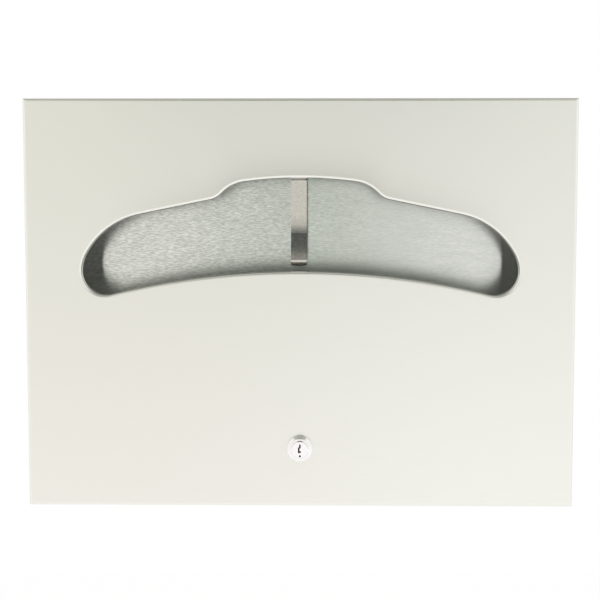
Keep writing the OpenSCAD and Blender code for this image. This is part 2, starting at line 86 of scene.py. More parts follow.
def between_values(made, source, low, high, start=0.3, end=0.7):
    """Turns a pattern into a number that runs from low to high."""
    tree = made.node_tree
    scale = tree.nodes.new("ShaderNodeMapRange")
    for name, value in (("From Min", start), ("From Max", end), ("To Min", low), ("To Max", high)):
        scale.inputs[name].default_value = value
    link(tree, source, scale.inputs["Value"])
    return scale.outputs["Result"]


def between_colours(made, source, low, high, start=0.3, end=0.7):
    """Turns a pattern into a colour that runs from low to high."""
    tree = made.node_tree
    ramp = tree.nodes.new("ShaderNodeValToRGB")
    for stop, where, colour in zip(ramp.color_ramp.elements, (start, end), (low, high)):
        stop.position = where
        stop.color = (*colour, 1.0)
    link(tree, source, ramp.inputs["Fac"])
    return ramp.outputs["Color"]


def relief(made, source, depth, strength=1.0):
    """Shades the surface as if a pattern raised it, by up to depth metres."""
    tree = made.node_tree
    bump = tree.nodes.new("ShaderNodeBump")
    bump.inputs["Strength"].default_value = strength
    bump.inputs["Distance"].default_value = depth
    link(tree, source, bump.inputs["Height"])
    return bump.outputs["Normal"]


def object_place(made):
    """Where a point lies in the part's own frame."""
    return made.node_tree.nodes.new("ShaderNodeTexCoord").outputs["Object"]


def smooth_hump(made, source, middle, reach):
    """A smooth hump over one coordinate: 1 at its middle, 0 from reach metres on either side."""
    tree = made.node_tree
    away = tree.nodes.new("ShaderNodeMath")
    away.operation = "SUBTRACT"
    away.inputs[1].default_value = middle
    size = tree.nodes.new("ShaderNodeMath")
    size.operation = "ABSOLUTE"
    scale = tree.nodes.new("ShaderNodeMapRange")
    scale.interpolation_type = "SMOOTHSTEP"
    for name, value in (("From Min", 0.0), ("From Max", reach), ("To Min", 1.0), ("To Max", 0.0)):
        scale.inputs[name].default_value = value
    link(tree, source, away.inputs[0])
    link(tree, away.outputs["Value"], size.inputs[0])
    link(tree, size.outputs["Value"], scale.inputs["Value"])
    return scale.outputs["Result"]


def darkened(made, colour, amount, shade):
    """A colour multiplied by a shade where amount is 1."""
    tree = made.node_tree
    mix = tree.nodes.new("ShaderNodeMix")
    mix.data_type = "RGBA"
    mix.blend_type = "MULTIPLY"
    mix.inputs[7].default_value = (*shade, 1.0)
    link(tree, amount, mix.inputs["Factor"])
    link(tree, colour, mix.inputs[6])
    return mix.outputs[2]


# Painted shade on the plate: a broad smooth darker hump across its middle, standing in for a dimmer
# reflection there.
PAINTED_SHADE_X, PAINTED_SHADE_REACH = 0.008, 0.125  # metres: the middle of the darker part, and its reach to either side
EVEN_X = (-0.03, 0.06)  # metres: left of these the strokes are in strong contrast, right of them in weak
plate_finish, plate_shader = new_finish("brushed_plate", (0.84, 0.86, 0.81), 0.93, 0.14, turn=1.0)
tree = plate_finish.node_tree
plate_place = object_place(plate_finish)
strokes = stroke_pattern(plate_finish, plate_place, (0.0036, 0.00045, 0.00045), 1.0)
patches = stroke_pattern(plate_finish, plate_place, (0.020, 0.004, 0.004), 2.0)
scratches = stroke_pattern(plate_finish, plate_place, (0.012, 0.0002, 0.0002))
across_plate = tree.nodes.new("ShaderNodeSeparateXYZ")
link(tree, plate_place, across_plate.inputs["Vector"])
painted_shade = smooth_hump(plate_finish, across_plate.outputs["X"], PAINTED_SHADE_X, PAINTED_SHADE_REACH)
upright = tree.nodes.new("ShaderNodeCombineXYZ")
upright.inputs["Z"].default_value = 1.0
link(tree, upright.outputs["Vector"], plate_shader.inputs["Tangent"])
even = between_colours(plate_finish, strokes, (0.77, 0.79, 0.75), (0.87, 0.88, 0.84), 0.34, 0.66)
crisp = between_colours(plate_finish, strokes, (0.64, 0.66, 0.62), (0.97, 0.98, 0.94), 0.36, 0.64)
evened = between_values(plate_finish, across_plate.outputs["X"], 0.0, 1.0, *EVEN_X)
steel_mix = tree.nodes.new("ShaderNodeMix")
steel_mix.data_type = "RGBA"
link(tree, evened, steel_mix.inputs["Factor"])
link(tree, crisp, steel_mix.inputs[6])
link(tree, even, steel_mix.inputs[7])
steel = steel_mix.outputs[2]
steel = darkened(plate_finish, steel, between_values(plate_finish, patches, 0.0, 1.0), (0.93, 0.935, 0.93))
# Painted shade: the plate's colour is darkened across its middle.
steel = darkened(plate_finish, steel, painted_shade, (0.80, 0.83, 0.81))
link(tree, steel, plate_shader.inputs["Base Color"])
link(tree, between_values(plate_finish, scratches, 0.12, 0.16), plate_shader.inputs["Roughness"])
link(tree, relief(plate_finish, strokes, 0.00001, 0.4), plate_shader.inputs["Normal"])


def dress(node, made):
    """Gives a CAD node one material."""
    nodes[node].data.materials.clear()
    nodes[node].data.materials.append(made)


dress("back_plate", plate_finish)

# Shelf: a strip of the same sheet across the foot of the plate, folded down at its rear, where it is
# spot-welded, and at its front, where the lock's cam turns up behind it.
dress("pack_shelf", plate_finish)

# Hinge: two long leaves, rolled by turns round one steel pin, with one leaf on the plate and one under
# the cover's top. The leaves are cold-rolled, so they are smoother and duller than the sheets.
leaf_finish, leaf_shader = new_finish("rolled_leaf", (0.42, 0.43, 0.42), 1.0, 0.36)
leaf_haze = stroke_pattern(leaf_finish, object_place(leaf_finish), (0.02, 0.004, 0.004), 4.0)
link(leaf_finish.node_tree, between_colours(leaf_finish, leaf_haze, (0.33, 0.34, 0.33), (0.50, 0.51, 0.50)),
     leaf_shader.inputs["Base Color"])
link(leaf_finish.node_tree, between_values(leaf_finish, leaf_haze, 0.28, 0.45),
     leaf_shader.inputs["Roughness"])
dress("hinge_leaf_back", leaf_finish)
dress("hinge_leaf_cover", leaf_finish)
pin_finish, pin_shader = new_finish("drawn_pin", (0.55, 0.56, 0.55), 1.0, 0.25)
pin_marks = stroke_pattern(pin_finish, object_place(pin_finish), (0.03, 0.0003, 0.0003))
link(pin_finish.node_tree, between_values(pin_finish, pin_marks, 0.18, 0.34), pin_shader.inputs["Roughness"])
dress("hinge_pin", pin_finish)

# Front cover: one stainless sheet, 0.8 mm thick, cut out and folded back on all four sides. Round the
# opening its edge is rolled inwards, so that it can't cut a hand or the paper. From here on the sizes of
# new pieces are in mm, and angles in degrees.
WIDTH, HEIGHT, DEPTH, SHEET, REAR, FOLD = 400.0, 298.0, 51.0, 0.8, 3.0, 2.0
ROLL, ROLL_DEPTH = 2.0, 5.0
CROWN_Z, CROWN_R, CROWN_A, SHOULDER_R, SHOULDER_A, HOLLOW_R = 91.7, 305.0, 7.6, 27.5, 46.5, 16.0
FLANK_A, FLANK_L, HAUNCH_R, HAUNCH_A, TIP_R, TOE_R, SILL_R = 11.6, 53.0, 57.0, 62.0, 26.0, 17.2, 571.0
# Sizes of the halo of painted shade above the opening.
HALO_REACH, HALO_X, HALO_HALF, HALO_LOW, HALO_RAMP = 12.0, 12.0, 150.0, 30.0, 3.0


def heading(angle):
    """Unit vectors (x, z) at angles in degrees, turned clockwise from straight up."""
    turned = np.radians(angle)
    return np.stack([np.sin(turned), np.cos(turned)], -1)


def opening_half():
    """Points down the right half of the opening's edge, and the directions from it into the sheet.
    The edge is a chain of arcs and one straight line, each tangent to the one before: a point is the
    arc's centre plus its radius times the heading."""
    crown = np.array([0.0, CROWN_Z - CROWN_R])
    shoulder = crown + (CROWN_R - SHOULDER_R) * heading(CROWN_A)
    hollow = shoulder + (SHOULDER_R + HOLLOW_R) * heading(SHOULDER_A)
    flank = hollow - HOLLOW_R * heading(FLANK_A)
    slope = np.array([math.cos(math.radians(FLANK_A)), -math.sin(math.radians(FLANK_A))])
    haunch = flank + FLANK_L * slope - HAUNCH_R * heading(FLANK_A)
    tip = haunch + (HAUNCH_R - TIP_R) * heading(HAUNCH_A)
    toe = tip + [TIP_R - TOE_R, 0.0]
    sill_a = math.degrees(math.asin(toe[0] / (TOE_R + SILL_R)))
    sill = toe - (TOE_R + SILL_R) * heading(sill_a)
    arcs = [(crown, CROWN_R, 1, 0.0, CROWN_A, 24), (shoulder, SHOULDER_R, 1, CROWN_A, SHOULDER_A, 20),
            (hollow, -HOLLOW_R, 1, SHOULDER_A, FLANK_A, 12), (haunch, HAUNCH_R, 1, FLANK_A, HAUNCH_A, 30),
            (tip, TIP_R, 1, HAUNCH_A, 90.0, 16), (toe, TOE_R, 1, 90.0, 150.0, 20),
            (toe, TOE_R, 1, 150.0, 180.0 + sill_a, 14), (sill, SILL_R, -1, sill_a, 0.0, 60)]
    points, outward = [np.array([[0.0, CROWN_Z]])], [np.array([[0.0, 1.0]])]
    for centre, radius, side, first, last, steps in arcs:
        unit = heading(np.linspace(first, last, steps + 1)[1:])
        if centre is haunch:
            straight = flank + np.linspace(0.0, FLANK_L, 16)[1:, None] * slope
            points.append(straight)
            outward.append(np.tile(heading(FLANK_A), (15, 1)))
        points.append(centre + radius * unit)
        outward.append(side * unit)
    counts = np.cumsum([len(p) for p in points])
    return np.concatenate(points), np.concatenate(outward), counts[5] - 1, counts[7] - 1


def whole_loop(half, flip):
    """A closed loop from its right half: the other half is its mirror image."""
    return np.concatenate([half, half[-2:0:-1] * flip])


def cover_rows():
    """Rows of the sheet's section, from the rolled edge's rear over the front to the cover's rear edge
    and back along the inside. A row is [share of the way from opening to outline, distance from the
    opening's edge, inset from the outline, distance from the wall, length unrolled past the flat]."""
    quarter = np.linspace(0.0, math.pi / 2, 9)
    share = np.array([0.0, 0.006, 0.03, 0.12, 0.25, 0.4, 0.55, 0.7, 0.85, 0.96, 0.994, 1.0])
    skins = []
    for skin in (0.0, SHEET):
        roll, fold = ROLL - skin, FOLD - skin
        turned = np.stack([0 * quarter, ROLL - roll * np.cos(quarter[::-1])[::-1], 0 * quarter,
                           DEPTH - ROLL + roll * np.sin(quarter), ROLL * (math.pi / 2 - quarter)], -1)
        flange = [0.0, skin, 0.0, DEPTH - ROLL_DEPTH, ROLL * math.pi / 2 + ROLL_DEPTH - ROLL]
        flat = np.stack([share, 0 * share + ROLL, 0 * share + FOLD, 0 * share + DEPTH - skin, 0 * share], -1)
        bent = np.stack([0 * quarter + 1, 0 * quarter + ROLL, FOLD - fold * np.sin(quarter),
                         DEPTH - FOLD + fold * np.cos(quarter), FOLD * quarter], -1)
        side = np.linspace(DEPTH - FOLD, REAR, 6)[1:]
        wall = np.stack([0 * side + 1, 0 * side + ROLL, 0 * side + skin, side,
                         FOLD * math.pi / 2 + DEPTH - FOLD - side], -1)
        skins.append(np.concatenate([[flange], turned, flat[1:-1], bent, wall]))
    return np.concatenate([skins[0], skins[1][::-1]])


def cover_surface():
    """The cover as one closed grid, round the opening and round the sheet's section. A point is a blend
    of a point on the opening's edge, moved outwards, and a point on the rectangle, moved inwards.
    The map unrolls the sheet: its first axis runs along the brushing, also round the folds. The halo is
    painted shade above the opening, in place of a dimmer reflection there: it falls off as
    exp(-distance / reach), and comes in as the direction into the sheet turns upwards."""
    edge, outward, top_end, side_end = opening_half()
    steps = np.arange(len(edge))
    fx = np.select([steps <= top_end, steps <= side_end], [edge[:, 0] / edge[top_end, 0], 1.0 + 0 * steps],
                   edge[:, 0] / edge[side_end, 0])
    run = np.concatenate([[0.0], np.cumsum(np.hypot(*np.diff(edge, axis=0).T))])
    fz = np.select([steps <= top_end, steps <= side_end],
                   [1.0 + 0 * steps, 1 - 2 * (run - run[top_end]) / (run[side_end] - run[top_end])],
                   -1.0 + 0 * steps)
    edge, outward = whole_loop(edge, [-1, 1]), whole_loop(outward, [-1, 1])
    frame_place = whole_loop(np.stack([fx, fz], -1), [-1, 1])
    rows = cover_rows()
    share, away, inset, depth, past = (rows[:, k, None, None] for k in range(5))
    half = np.array([WIDTH, HEIGHT]) / 2
    inner = edge[None] + away * outward[None]
    outer = frame_place[None] * (half - inset)
    flat = (1 - share) * inner + share * outer
    grid = np.concatenate([flat[..., :1], -np.broadcast_to(depth, flat[..., :1].shape), flat[..., 1:]], -1)
    unrolled_in = edge[None] + ROLL * outward[None] - past * outward[None]
    row_count, count = grid.shape[:2]
    onto_side = (np.abs(frame_place[:, 0]) >= 1) & (np.abs(np.roll(frame_place[:, 0], -1)) >= 1)
    i, j = np.meshgrid(np.arange(row_count), np.arange(count), indexing="ij")
    ni, nj = (i + 1) % row_count, (j + 1) % count
    faces = np.stack([i * count + j, i * count + nj, ni * count + nj, ni * count + j], -1).reshape(-1, 4)
    corner_row, corner_col = faces // count, faces % count
    at = flat[corner_row, corner_col]
    far = past[corner_row, 0, 0]
    lengthwise = np.broadcast_to(onto_side[j].reshape(-1, 1), far.shape)
    folded = np.stack([np.where(lengthwise, np.sign(at[..., 0]) * (half[0] - FOLD + far), at[..., 0]),
                       np.where(lengthwise, at[..., 1], np.sign(at[..., 1]) * (half[1] - FOLD + far))], -1)
    rolled = unrolled_in[corner_row, corner_col]
    kind = share[corner_row, 0, 0][..., None]
    sheet = np.where(kind >= 1, folded, np.where(kind <= 0, rolled, at))
    near = np.linalg.norm(flat - inner, axis=-1)
    central = np.clip(np.cos((edge[:, 0] - HALO_X) / HALO_HALF * math.pi / 2), 0, 1)
    above = np.clip(outward[:, 1] * HALO_RAMP, 0, 1) * (edge[:, 1] > HALO_LOW)
    halo = np.where(share[..., 0] > 0, np.exp(-near / HALO_REACH), 0.0) * central * above
    rearwards = (faces // count).min(-1) >= row_count // 2
    return grid.reshape(-1, 3), faces, sheet.reshape(-1, 2), halo.ravel(), rearwards


def new_piece(name, points, faces, made, sheet=None, sharp=35.0):
    """A mesh object from points in mm and faces, with its unrolled map and its edges over the angle
    sharp left sharp."""
    mesh = bpy.data.meshes.new(name)
    mesh.from_pydata((points * 0.001).tolist(), [], faces if isinstance(faces, list) else faces.tolist())
    if sheet is not None:
        mesh.uv_layers.new(name="sheet").uv.foreach_set("vector", (sheet * 0.001).astype(np.float32).ravel())
    mesh.materials.append(made)
    shell = bmesh.new()
    shell.from_mesh(mesh)
    bmesh.ops.recalc_face_normals(shell, faces=shell.faces)
    shell.to_mesh(mesh)
    shell.free()
    piece = bpy.data.objects.new(name, mesh)
    bpy.context.collection.objects.link(piece)
    mesh.shade_smooth()
    mesh.set_sharp_from_angle(angle=math.radians(sharp))
    return piece


cover_finish, cover_shader = new_finish("satin_cover", (0.90, 0.90, 0.84), 0.93, 0.24, turn=0.8)
cover_shader.inputs["Anisotropic Rotation"].default_value = 0.25
tree = cover_finish.node_tree
sheet_place = tree.nodes.new("ShaderNodeUVMap")
sheet_place.uv_map = "sheet"
along = tree.nodes.new("ShaderNodeTangent")
along.direction_type = "UV_MAP"
along.uv_map = "sheet"
link(tree, along.outputs["Tangent"], cover_shader.inputs["Tangent"])
grain = stroke_pattern(cover_finish, sheet_place.outputs["UV"], (0.006, 0.0012, 1.0), 3.0)
scratches = stroke_pattern(cover_finish, sheet_place.outputs["UV"], (0.02, 0.0003, 1.0), 1.0)
painted_halo_shade = tree.nodes.new("ShaderNodeAttribute")
painted_halo_shade.attribute_name = "painted_halo_shade"
satin = between_colours(cover_finish, grain, (0.895, 0.895, 0.835), (0.905, 0.905, 0.845))
# Painted shade: a faint grey halo on the sheet round the top of the opening.
link(tree, darkened(cover_finish, satin, painted_halo_shade.outputs["Fac"], (0.80, 0.80, 0.79)),
     cover_shader.inputs["Base Color"])
link(tree, between_values(cover_finish, scratches, 0.20, 0.26), cover_shader.inputs["Roughness"])
link(tree, relief(cover_finish, grain, 0.000004, 0.3), cover_shader.inputs["Normal"])
inside_finish, inside_shader = new_finish("mill_inside", (0.88, 0.88, 0.86), 0.92, 0.6)
inside_haze = stroke_pattern(inside_finish, object_place(inside_finish), (0.03, 0.01, 0.01), 4.0)
link(inside_finish.node_tree, between_colours(inside_finish, inside_haze, (0.85, 0.85, 0.84),
     (0.92, 0.92, 0.90)), inside_shader.inputs["Base Color"])
link(inside_finish.node_tree, between_values(inside_finish, inside_haze, 0.52, 0.64),
     inside_shader.inputs["Roughness"])
points, faces, unrolled, halo, rearwards = cover_surface()
cover = new_piece("cover_sheet", points, faces, cover_finish, unrolled)
cover.data.materials.append(inside_finish)
cover.data.polygons.foreach_set("material_index", rearwards.astype(np.int32))
cover.data.attributes.new("painted_halo_shade", "FLOAT", "POINT").data.foreach_set("value", halo.astype(np.float32))

# The lock's hole is punched through the sheet: a circle with two flats, 0.1 mm clear of the barrel.
LOCK_Z, HOLE_R, HOLE_HALF, PUNCH_IN, PUNCH_OUT, PUNCH_STEPS = -106.0, 8.1, 7.4, 3.0, 2.0, 72


def punch_surface():
    """A closed prism along Y over the hole's outline: a point on it is the radius times the heading,
    with its X held between the two flats."""
    around = np.linspace(0.0, 2 * math.pi, PUNCH_STEPS, endpoint=False)
    outline = HOLE_R * np.stack([np.cos(around), np.sin(around)], -1)
    outline[:, 0] = np.clip(outline[:, 0], -HOLE_HALF, HOLE_HALF)
    ends = [np.stack([outline[:, 0], 0 * around - depth, LOCK_Z + outline[:, 1]], -1)
            for depth in (DEPTH - PUNCH_IN, DEPTH + PUNCH_OUT)]
    j = np.arange(PUNCH_STEPS)
    nj = (j + 1) % PUNCH_STEPS
    sides = np.stack([j, nj, PUNCH_STEPS + nj, PUNCH_STEPS + j], -1).tolist()
    return np.concatenate(ends), sides + [j[::-1].tolist(), (PUNCH_STEPS + j).tolist()]


punch = new_piece("punch", *punch_surface(), inside_finish)
hole = cover.modifiers.new("hole", "BOOLEAN")
hole.operation, hole.solver, hole.object = "DIFFERENCE", "EXACT", punch
bpy.context.view_layer.update()
punched = bpy.data.meshes.new_from_object(cover.evaluated_get(bpy.context.evaluated_depsgraph_get()))
cover.modifiers.clear()
cover.data = punched
punched.name = "cover_sheet"
punched.set_sharp_from_angle(angle=math.radians(35.0))
bpy.data.objects.remove(punch)

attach(cover, "cover")
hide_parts("front_cover")

# Tongue: a narrow strip left on the upper edge of the opening when the sheet is cut, bent down behind it,
# tilted forward at its foot and turned back in a short lip. It holds back the covers in the middle.
TONGUE_X, TONGUE_W, SLOPE, SLOPE_A, UPRIGHT, TILT, FOOT = -0.8, 11.4, 1.6, 45.0, 37.4, 15.0, 19.6
LIP_TURN, LIP, ROOT_R, FOOT_R, CORNER_R, LAP = 68.0, 5.0, 1.0, 0.8, 2.0, 0.5
BOW, BOW_R, SAG, NECK, NECK_L, STUB, ROOT_DROP = 9.0, 93.0, 5.0, 0.8, 3.2, 0.1, 0.3


def tongue_path():
    """The front face of the strip in side view, as [distance from the wall, height], with the directions
    to its left and the length along it. A bend is an arc about a centre on the side that it turns to."""
    place, angle = np.array([DEPTH - ROLL_DEPTH + LAP, CROWN_Z + SHEET - ROOT_DROP]), 180.0
    points, sideways = [place[None]], [np.array([[0.0, -1.0]])]
    stretches = ((LAP, SLOPE_A, ROOT_R), (SLOPE, 90.0 - SLOPE_A, FOOT_R),
                 (UPRIGHT - math.radians(BOW) * BOW_R, BOW, BOW_R), (STUB, TILT - BOW, FOOT_R),
                 (STUB, -SAG, FOOT / math.radians(SAG)), (STUB, SAG - LIP_TURN, FOOT_R), (LIP, 0.0, 0.0))
    for straight, turn, radius in stretches:
        along = np.array([math.cos(math.radians(angle)), math.sin(math.radians(angle))])
        left = np.array([-along[1], along[0]])
        steps = np.linspace(0.0, straight, 9 if straight > 1 else 2)[1:, None]
        points.append(place + steps * along)
        sideways.append(np.tile(left, (len(steps), 1)))
        place = place + straight * along
        if turn:
            reach = math.copysign(radius + (SHEET if turn > 0 else 0.0), -turn)
            centre = place - reach * left
            bend = np.radians(angle + np.linspace(0.0, turn, 9)[1:])
            lefts = np.stack([-np.sin(bend), np.cos(bend)], -1)
            points.append(centre + reach * lefts)
            sideways.append(lefts)
            place, angle = points[-1][-1], angle + turn
    points, sideways = np.concatenate(points), np.concatenate(sideways)
    return points, sideways, np.concatenate([[0.0], np.cumsum(np.hypot(*np.diff(points, axis=0).T))])


def tongue_surface():
    """The strip as one closed grid, along its path and round its section. At its root it is a little
    narrower, and over the last stretch its half width is rounded off as a quarter circle."""
    points, sideways, length = tongue_path()
    total = length[-1]
    into = np.clip(length - (total - CORNER_R), 0.0, CORNER_R)
    width = TONGUE_W / 2 - CORNER_R + np.sqrt(CORNER_R ** 2 - into ** 2) - NECK * (length < NECK_L)
    across = np.linspace(-1.0, 1.0, 7)
    ring_x = np.concatenate([across, across[::-1]])
    ring_t = np.concatenate([0 * across, 0 * across + SHEET])
    side = points[:, None] + ring_t[None, :, None] * sideways[:, None]
    grid = np.stack([TONGUE_X + ring_x[None] * width[:, None], -side[..., 0], side[..., 1]], -1)
    rows, count = grid.shape[:2]
    i, j = np.meshgrid(np.arange(rows - 1), np.arange(count), indexing="ij")
    nj = (j + 1) % count
    faces = np.stack([i * count + j, i * count + nj, (i + 1) * count + nj, (i + 1) * count + j], -1)
    ends = [list(range(count))[::-1], list(range((rows - 1) * count, rows * count))]
    return grid.reshape(-1, 3), faces.reshape(-1, 4).tolist() + ends


# Heights in metres where the strip's painted shade changes: at its root, up its foot, and above its crease.
ROOT_BAND_Z, FOOT_FADE_Z, CREASE_FADE_Z = (0.0899, 0.0903), (0.0317, 0.0420), (0.0520, 0.0580)
tongue_finish, tongue_shader = new_finish("rolled_tongue", (0.70, 0.66, 0.60), 0.97, 0.22)
tree = tongue_finish.node_tree
tongue_place = object_place(tongue_finish)
speckle = stroke_pattern(tongue_finish, tongue_place, (0.0013, 0.0013, 0.0009), 3.0)
streaks = stroke_pattern(tongue_finish, tongue_place, (0.0018, 0.0018, 0.012), 2.0)
speckle_and_painted_shade = between_colours(tongue_finish, speckle, (0.61, 0.59, 0.55), (0.78, 0.73, 0.65))
speckle_and_painted_shade = darkened(tongue_finish, speckle_and_painted_shade, between_values(tongue_finish, streaks, 0.0, 1.0),
                      (0.94, 0.95, 0.97))
tongue_height = tree.nodes.new("ShaderNodeSeparateXYZ")
link(tree, tongue_place, tongue_height.inputs["Vector"])
# Painted shade: the bend at the root and the upper foot are darkened, standing in for dimmer reflections
# there.
root_band = between_values(tongue_finish, tongue_height.outputs["Z"], 0.0, 1.0, *ROOT_BAND_Z)
speckle_and_painted_shade = darkened(tongue_finish, speckle_and_painted_shade, root_band, (0.55, 0.60, 0.60))
foot_fade = between_values(tongue_finish, tongue_height.outputs["Z"], 0.0, 1.0, *FOOT_FADE_Z)
crease_fade = between_values(tongue_finish, tongue_height.outputs["Z"], 1.0, 0.0, *CREASE_FADE_Z)
foot_shade = tree.nodes.new("ShaderNodeMath")
foot_shade.operation = "MULTIPLY"
link(tree, foot_fade, foot_shade.inputs[0])
link(tree, crease_fade, foot_shade.inputs[1])
speckle_and_painted_shade = darkened(tongue_finish, speckle_and_painted_shade, foot_shade.outputs["Value"], (0.50, 0.53, 0.54))
link(tree, speckle_and_painted_shade, tongue_shader.inputs["Base Color"])
link(tree, between_values(tongue_finish, speckle, 0.18, 0.26), tongue_shader.inputs["Roughness"])
tongue = new_piece("cover_tongue", *tongue_surface(), tongue_finish)
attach(tongue, "cover")
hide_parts("front_cover")

# Lock's body: a die-cast, chromed barrel with a domed head. It is pushed through the cover from the front,
# and a toothed washer and a nut hold it from behind.
chrome, chrome_shader = new_finish("polished_chrome", (0.93, 0.93, 0.92), 1.0, 0.10)
chrome_haze = stroke_pattern(chrome, object_place(chrome), (0.004, 0.004, 0.004), 4.0)
link(chrome.node_tree, between_values(chrome, chrome_haze, 0.06, 0.16), chrome_shader.inputs["Roughness"])
dress("lock_body", chrome)

# Plug: a die-cast, chromed cylinder that the key turns in the barrel, held from behind by the cam's screw.
# Its face is shaded to fall off at the rim, and below the face, in the stepped keyway, painted shade makes
# it nearly black and dull. These sizes are in metres.
PLUG_RIM_R, PLUG_RIM_FALL, KEYWAY_Y = (0.0056, 0.0067), 0.00028, (-0.0554, -0.0550)
plug_finish, plug_shader = new_finish("chromed_plug", (0.93, 0.93, 0.92), 1.0, 0.10)
tree = plug_finish.node_tree
off_axis = tree.nodes.new("ShaderNodeVectorMath")
off_axis.operation = "DISTANCE"
flattened = tree.nodes.new("ShaderNodeMapping")
flattened.inputs["Scale"].default_value = (1.0, 0.0, 1.0)
link(tree, object_place(plug_finish), flattened.inputs["Vector"])
link(tree, flattened.outputs["Vector"], off_axis.inputs[0])
off_axis.inputs[1].default_value = (0.0, 0.0, LOCK_Z * 0.001)
rim = between_values(plug_finish, off_axis.outputs["Value"], 1.0, 0.0, *PLUG_RIM_R)
link(tree, relief(plug_finish, rim, PLUG_RIM_FALL), plug_shader.inputs["Normal"])
plug_place = tree.nodes.new("ShaderNodeSeparateXYZ")
link(tree, object_place(plug_finish), plug_place.inputs["Vector"])
# Painted shade: behind its face the plug turns nearly black, not metallic and rough, so the keyway looks
# dark.
depth_in = between_values(plug_finish, plug_place.outputs["Y"], 0.0, 1.0, *KEYWAY_Y)
chrome_and_keyway_shade = between_colours(plug_finish, depth_in, (0.93, 0.93, 0.92), (0.012, 0.012, 0.014), 0.0, 1.0)
link(tree, chrome_and_keyway_shade, plug_shader.inputs["Base Color"])
link(tree, between_values(plug_finish, plug_place.outputs["Y"], 1.0, 0.0, *KEYWAY_Y),
     plug_shader.inputs["Metallic"])
link(tree, between_values(plug_finish, plug_place.outputs["Y"], 0.10, 1.0, *KEYWAY_Y),
     plug_shader.inputs["Roughness"])
dress("lock_plug", plug_finish)

# Head of the lock: the domed front of the same chromed casting. This smooth skin lies over the solid's
# dome and is SKIN mm wider in radius.
HEAD_R, HEAD_FACE_R, HEAD_H, HEAD_EDGE_H = 10.0, 7.5, 4.5, 1.2
SKIN, SKIN_GAP, SKIN_WALL, SKIN_LAP = 0.015, 0.02, 0.2, 0.15


def lathe_surface(profile, turns=96):
    """A closed surface of revolution about the lock's axis. The profile is a closed loop of [radius,
    distance from the wall], and a point is at the radius times the heading on the front's plane."""
    around = np.linspace(0.0, 2 * math.pi, turns, endpoint=False)
    radius, ahead = profile[:, 0, None], profile[:, 1, None]
    grid = np.stack([radius * np.cos(around), -ahead + 0 * around, LOCK_Z + radius * np.sin(around)], -1)
    rows = len(profile)
    i, j = np.meshgrid(np.arange(rows), np.arange(turns), indexing="ij")
    ni, nj = (i + 1) % rows, (j + 1) % turns
    faces = np.stack([i * turns + j, i * turns + nj, ni * turns + nj, ni * turns + j], -1)
    return grid.reshape(-1, 3), faces.reshape(-1, 4)


slope = np.linspace(math.pi / 2, 0.0, 25)
dome = np.stack([HEAD_FACE_R + (HEAD_R - HEAD_FACE_R) * np.cos(slope) + SKIN,
                 DEPTH + HEAD_EDGE_H + (HEAD_H - HEAD_EDGE_H) * np.sin(slope)], -1)
underside = [[HEAD_R + SKIN, DEPTH + SKIN_GAP], [HEAD_R - SKIN_WALL, DEPTH + SKIN_GAP],
             [HEAD_R - SKIN_WALL, DEPTH + HEAD_EDGE_H], [HEAD_FACE_R - SKIN_WALL, DEPTH + HEAD_H - SKIN_LAP]]
profile = np.concatenate([dome, underside])
bezel = new_piece("lock_bezel", *lathe_surface(profile), chrome)
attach(bezel, "cover")

# Wafers: five small plates, stamped from brass, each in its own slot of the plug with a spring of drawn
# wire. Their colour is nearly black: painted shade deep inside the keyway.
brass, brass_shader = new_finish("stamped_brass", (0.12, 0.09, 0.045), 1.0, 0.4)
brass_haze = stroke_pattern(brass, object_place(brass), (0.003, 0.003, 0.003), 3.0)
link(brass.node_tree, between_colours(brass, brass_haze, (0.08, 0.06, 0.03), (0.16, 0.12, 0.06)),
     brass_shader.inputs["Base Color"])
for number in range(1, 6):
    dress(f"wafer_{number}", brass)
dress("wafer_springs", pin_finish)

# Cam and fixings: zinc-plated steel. The cam is stamped from sheet and held on the plug by a screw and two
# washers, and the toothed washer and the nut hold the lock to the cover.
zinc, zinc_shader = new_finish("bright_zinc", (0.48, 0.49, 0.50), 1.0, 0.34)
zinc_haze = stroke_pattern(zinc, object_place(zinc), (0.006, 0.006, 0.006), 5.0)
link(zinc.node_tree, between_colours(zinc, zinc_haze, (0.38, 0.38, 0.36), (0.56, 0.58, 0.60)),
     zinc_shader.inputs["Base Color"])
link(zinc.node_tree, between_values(zinc, zinc_haze, 0.25, 0.5), zinc_shader.inputs["Roughness"])
for node in ("lock_washer", "lock_nut", "cam_stop_washer", "lock_cam", "cam_lock_washer", "cam_screw"):
    dress(node, zinc)

# Room: a plain studio, pale at both sides and behind, brightest low down ahead, greyer straight ahead, with
# a dark strip of ceiling overhead and a darker gap in its middle. Only mirrored rays see it, shaded by
# their direction (x, y, z): the camera and the soft light have plain white.
world = bpy.data.worlds.new("studio")
bpy.context.scene.world = world
world.use_nodes = True
tree = world.node_tree
direction = tree.nodes.new("ShaderNodeTexCoord")
parts = tree.nodes.new("ShaderNodeSeparateXYZ")
link(tree, direction.outputs["Generated"], parts.inputs["Vector"])


def worked_out(operation, *values):
    """One Math node in the world, fed with numbers or with other nodes' outputs."""
    step = tree.nodes.new("ShaderNodeMath")
    step.operation = operation
    for socket, value in zip(step.inputs, values):
        if isinstance(value, (int, float)):
            socket.default_value = value
        else:
            link(tree, value, socket)
    return step.outputs["Value"]


def eased(source, start, end, low=0.0, high=1.0):
    """A smooth step of a number, from low at start to high at end."""
    scale = tree.nodes.new("ShaderNodeMapRange")
    scale.interpolation_type = "SMOOTHSTEP"
    for name, value in (("From Min", start), ("From Max", end), ("To Min", low), ("To Max", high)):
        scale.inputs[name].default_value = value
    link(tree, source, scale.inputs["Value"])
    return scale.outputs["Result"]


def mixed(share, start, end):
    """A colour between two colours or nodes' outputs."""
    mix = tree.nodes.new("ShaderNodeMix")
    mix.data_type = "RGBA"
    for socket, value in ((mix.inputs["Factor"], share), (mix.inputs[6], start), (mix.inputs[7], end)):
        if isinstance(value, tuple):
            socket.default_value = (*value, 1.0)
        else:
            link(tree, value, socket)
    return mix.outputs[2]


